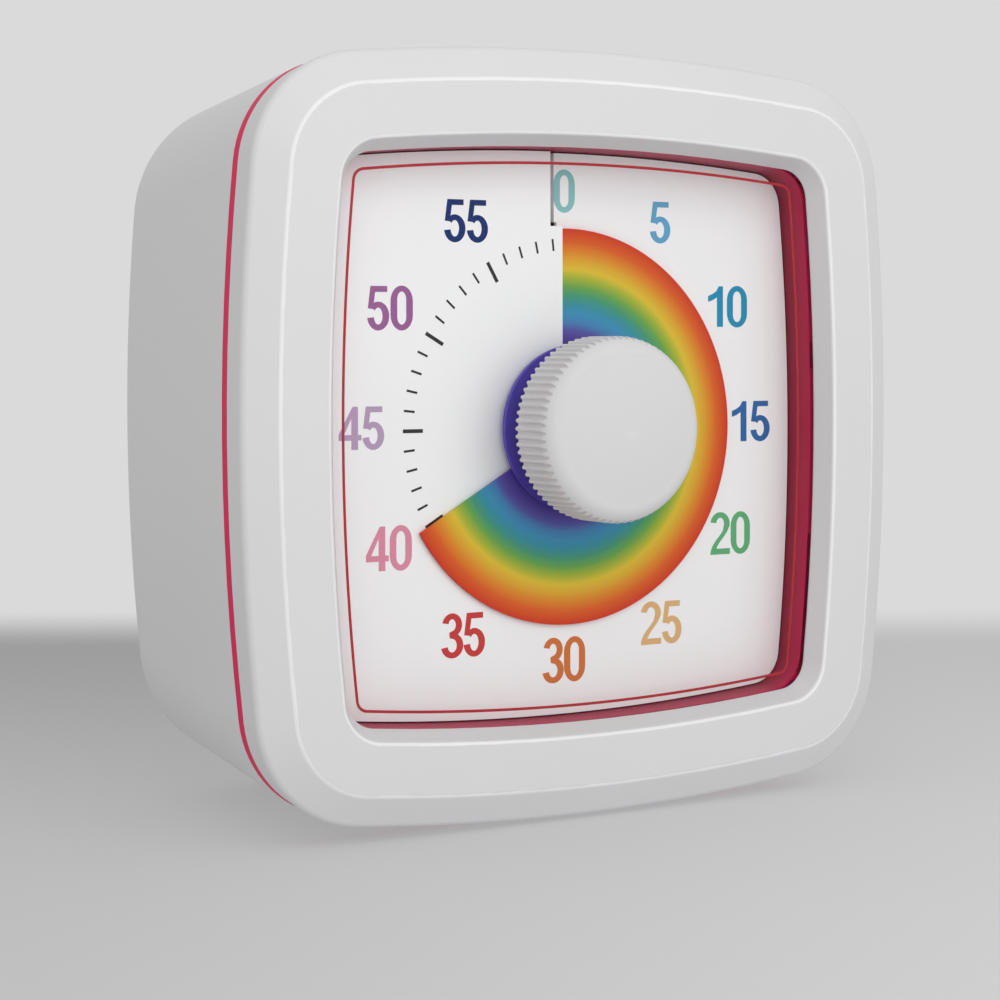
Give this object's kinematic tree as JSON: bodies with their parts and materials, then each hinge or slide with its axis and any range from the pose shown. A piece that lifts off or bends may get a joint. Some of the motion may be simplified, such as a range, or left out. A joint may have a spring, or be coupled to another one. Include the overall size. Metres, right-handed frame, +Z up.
{
  "type": "visual countdown timer",
  "caption": "Square desk timer with bowed sides: a knob turns a rainbow disc out through a slit in a numbered dial behind a clear cover; battery movement, door and sound switch behind.",
  "frame": {"origin": "on the ground under the middle of the timer, midway between the knob's front and the flat back", "axes": "+Z up, -Y out of the dial towards the viewer, +X to the viewer's right"},
  "size_m": [0.0858, 0.0506, 0.0863],
  "materials": {
    "white_case": "satin, fine moulded surface",
    "crimson_frame": "smooth",
    "clear_lens": "clear, polished, one printed red line near the edge",
    "dial_print": "matt white with printed numerals and minute marks",
    "rainbow_print": "printed rings from red at the rim to indigo at the middle",
    "indigo_plastic": "smooth",
    "knob_plastic": "satin, ribbed side",
    "steel": "plain",
    "screw_steel": "zinc plated",
    "wheel_plastic": "natural acetal",
    "magnet": "sintered",
    "movement_plastic": "black moulded",
    "bobbin_plastic": "plain",
    "copper_wire": "enamelled copper",
    "board_green": "solder mask",
    "crystal_can": "drawn can",
    "resin_black": "cast",
    "buzzer_brass": "plain with ceramic layer",
    "cell_sleeve": "plain sleeve, metal ends",
    "foot_rubber": "matt"
  },
  "bodies": {
    "case": {"front_bezel": "white_case", "trim_frame": "crimson_frame", "lens": "clear_lens", "rear_housing": "white_case", "switch_body": "movement_plastic", "rubber_feet": "foot_rubber", "housing_screws": "screw_steel", "dial_face": "dial_print", "back_plate": "movement_plastic", "plate_screws": "screw_steel", "stator": "steel", "coil_bobbin": "bobbin_plastic", "coil_winding": "copper_wire", "movement_cover": "movement_plastic", "movement_screws": "screw_steel", "circuit_board": "board_green", "quartz_crystal": "crystal_can", "chip_cap": "resin_black", "buzzer": "buzzer_brass", "battery_cell": "cell_sleeve", "positive_contact": "steel", "battery_spring": "steel"},
    "knob_set": {"knob": "knob_plastic", "drive_shaft": "steel", "hub_collar": "indigo_plastic", "clutch_spring": "steel", "retaining_ring": "steel"},
    "disc": {"colour_disc": "rainbow_print", "disc_hub": "indigo_plastic"},
    "centre_wheel": {"centre_wheel": "wheel_plastic"},
    "middle_wheel": {"middle_wheel": "wheel_plastic"},
    "rotor": {"rotor_pinion": "wheel_plastic", "rotor_magnet": "magnet"},
    "battery_door": {"battery_door": "white_case"},
    "switch_slider": {"switch_slider": "movement_plastic"}
  },
  "joints": [
    {"name": "knob_turn", "type": "hinge", "parent": "case", "child": "knob_set", "pos_m": [0, -0.01165, 0.0443], "axis": [0, 1, 0], "range_deg": [-240, 120]},
    {"name": "disc_float", "type": "slide", "parent": "knob_set", "child": "disc", "axis": [0, -1, 0], "range_m": [-0.00087, 0.00044]},
    {"name": "centre_wheel_turn", "type": "hinge", "parent": "case", "child": "centre_wheel", "pos_m": [0, -0.01165, 0.0443], "axis": [0, 1, 0], "continuous": true},
    {"name": "middle_wheel_turn", "type": "hinge", "parent": "case", "child": "middle_wheel", "pos_m": [-0.00803, -0.01165, 0.05577], "axis": [0, 1, 0], "continuous": true},
    {"name": "rotor_turn", "type": "hinge", "parent": "case", "child": "rotor", "pos_m": [0.00325, -0.01165, 0.05987], "axis": [0, 1, 0], "continuous": true},
    {"name": "door_hinge", "type": "hinge", "parent": "case", "child": "battery_door", "pos_m": [0, 0.02445, 0.01215], "axis": [-1, 0, 0], "range_deg": [0, 110]},
    {"name": "switch_slide", "type": "slide", "parent": "case", "child": "switch_slider", "axis": [1, 0, 0], "range_m": [-0.0024, 0]}
  ],
  "couplings": [
    {"joint": "disc_float", "follows": "knob_turn", "m_per_rad": 0.0002069},
    {"joint": "middle_wheel_turn", "follows": "centre_wheel_turn", "ratio": -6},
    {"joint": "rotor_turn", "follows": "centre_wheel_turn", "ratio": 30}
  ]
}
